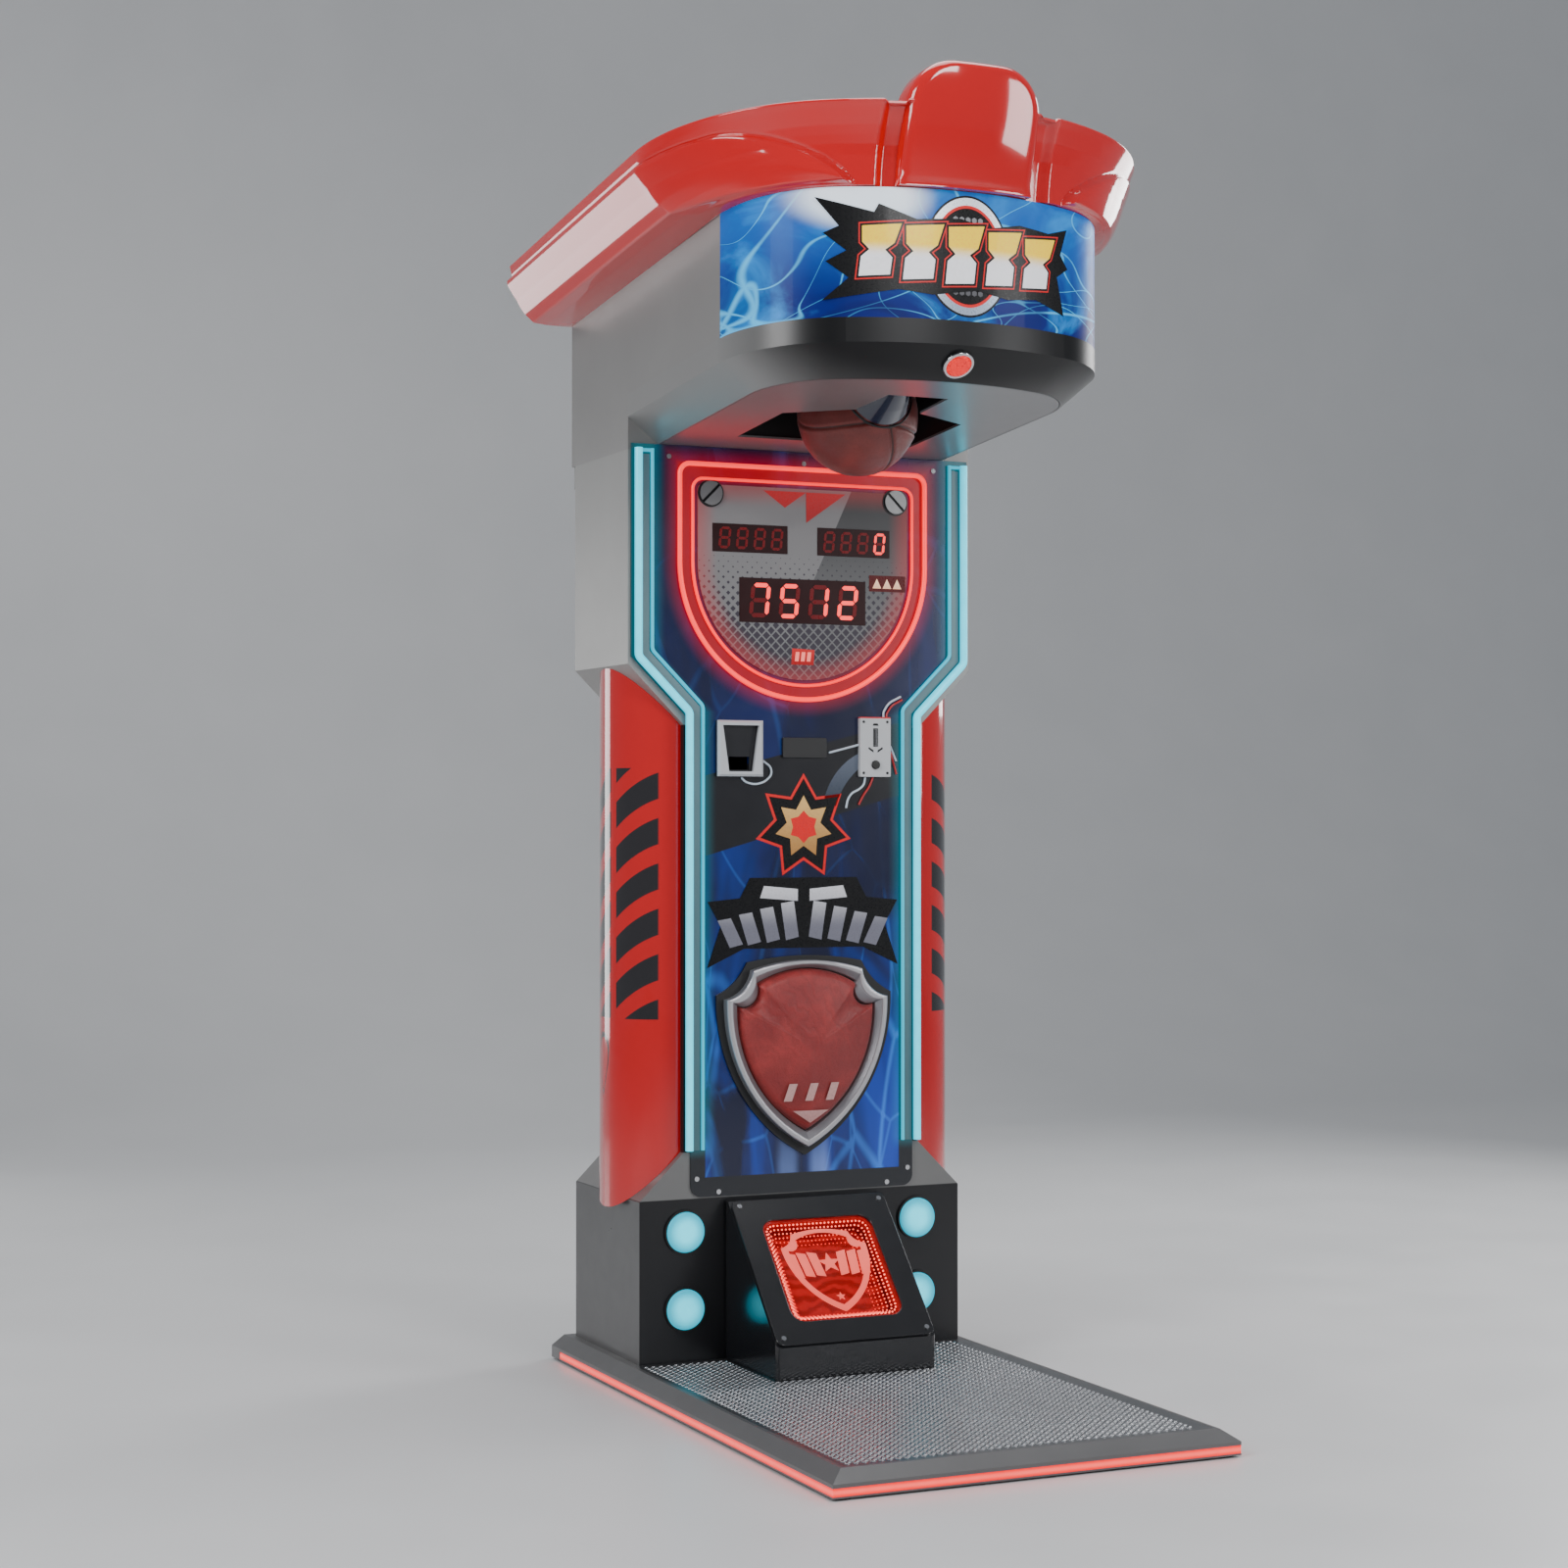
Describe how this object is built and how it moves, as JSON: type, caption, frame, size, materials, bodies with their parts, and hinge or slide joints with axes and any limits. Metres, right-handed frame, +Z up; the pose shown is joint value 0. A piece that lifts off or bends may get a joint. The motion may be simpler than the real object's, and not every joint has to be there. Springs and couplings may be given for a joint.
{
  "type": "boxing punch machine",
  "caption": "Arcade punch machine: lit floor platform, kick box, narrow column with light tubes and shield pad, and an overhanging head that holds a ball on a swing arm.",
  "frame": {"origin": "on the floor, under the centre of the platform", "axes": "+Z up, -Y towards the player who faces the machine, +X to the right of the front view"},
  "size_m": [0.93, 1.244, 2.252],
  "materials": {
    "platform_steel": "satin",
    "deck_steel": "satin",
    "red_light": "glowing",
    "cyan_light": "glowing",
    "foot_rubber": "matt",
    "black_steel": "satin",
    "grey_steel": "satin",
    "trim_steel": "satin",
    "red_gloss": "high gloss",
    "printed_front": "printed gloss",
    "printed_sign": "printed, lit from behind",
    "display_print": "printed gloss",
    "display_glass": "smoked gloss",
    "chrome_trim": "polished",
    "white_trim": "gloss",
    "black_plastic": "fine texture",
    "channel_grey": "matt",
    "mirror_glass": "half silvered",
    "mirror_back": "silvered",
    "white_lead": "gloss",
    "red_lead": "gloss",
    "shield_metal": "satin",
    "pad_leather": "soft gloss",
    "ball_leather": "soft gloss",
    "arm_paint": "gloss",
    "beacon_red": "clear",
    "machined_steel": "machined",
    "zinc_box": "zinc plated"
  },
  "bodies": {
    "casing": {"arm_frame": "machined_steel", "ball_bay_shroud": "black_steel", "beacon_bezel": "chrome_trim", "beacon_lens": "beacon_red", "bearing_blocks": "machined_steel", "cash_box": "zinc_box", "coin_mechanism": "zinc_box", "coin_plate": "white_trim", "control_box": "zinc_box", "crown": "red_gloss", "deck_plate": "deck_steel", "display_left": "display_glass", "display_main": "display_glass", "display_plate": "display_print", "display_right": "display_glass", "door_hinges": "machined_steel", "front_plate": "printed_front", "head_roof": "grey_steel", "head_shell": "grey_steel", "head_sign": "printed_sign", "head_trim": "trim_steel", "head_underside": "grey_steel", "inner_light_tubes": "cyan_light", "inner_neon": "red_light", "kick_frame": "black_plastic", "kick_glass": "mirror_glass", "kick_housing": "black_steel", "kick_light_ring": "red_light", "kick_mirror": "mirror_back", "lamp_bezels": "black_plastic", "lamp_lenses": "cyan_light", "latch_magnet": "machined_steel", "light_channels": "channel_grey", "lower_cabinet": "black_steel", "note_bezel": "white_trim", "optical_sensor": "black_plastic", "outer_light_tubes": "cyan_light", "outer_neon": "red_light", "panel_screws": "chrome_trim", "platform_feet": "foot_rubber", "platform_frame": "platform_steel", "platform_light_strip": "red_light", "power_inlet": "black_plastic", "reader_cover": "black_plastic", "red_leads": "red_lead", "shield_border": "black_plastic", "shield_frame": "shield_metal", "shield_pad": "pad_leather", "side_panel_left": "red_gloss", "side_panel_right": "red_gloss", "upper_cabinet": "grey_steel", "white_leads": "white_lead"},
    "arm": {"swing_arm": "arm_paint", "pivot_shaft": "machined_steel", "punch_ball": "ball_leather"},
    "left_lock": {"turn_lock_left": "chrome_trim"},
    "right_lock": {"turn_lock_right": "chrome_trim"},
    "reject_button": {"coin_button": "black_plastic"},
    "door": {"rear_door": "grey_steel"},
    "door_cam": {"door_lock": "machined_steel"}
  },
  "joints": [
    {"name": "arm_swing", "type": "hinge", "parent": "casing", "child": "arm", "pos_m": [0, -0.135, 1.79323], "axis": [1, 0, 0], "range_deg": [-71.9, 0]},
    {"name": "left_lock_turn", "type": "hinge", "parent": "casing", "child": "left_lock", "pos_m": [-0.187, 0.265, 1.614], "axis": [0, 1, 0], "range_deg": [0, 90]},
    {"name": "right_lock_turn", "type": "hinge", "parent": "casing", "child": "right_lock", "pos_m": [0.187, 0.265, 1.614], "axis": [0, 1, 0], "range_deg": [0, 90]},
    {"name": "button_press", "type": "slide", "parent": "casing", "child": "reject_button", "axis": [0, 1, 0], "range_m": [0, 0.004], "stiffness_N_per_m": 400},
    {"name": "door_swing", "type": "hinge", "parent": "casing", "child": "door", "pos_m": [-0.193, 0.5555, 0.8], "axis": [0, 0, 1], "range_deg": [0, 110]},
    {"name": "door_cam_turn", "type": "hinge", "parent": "door", "child": "door_cam", "pos_m": [0.155, 0.55, 0.8], "axis": [0, 1, 0], "range_deg": [0, 90]}
  ]
}
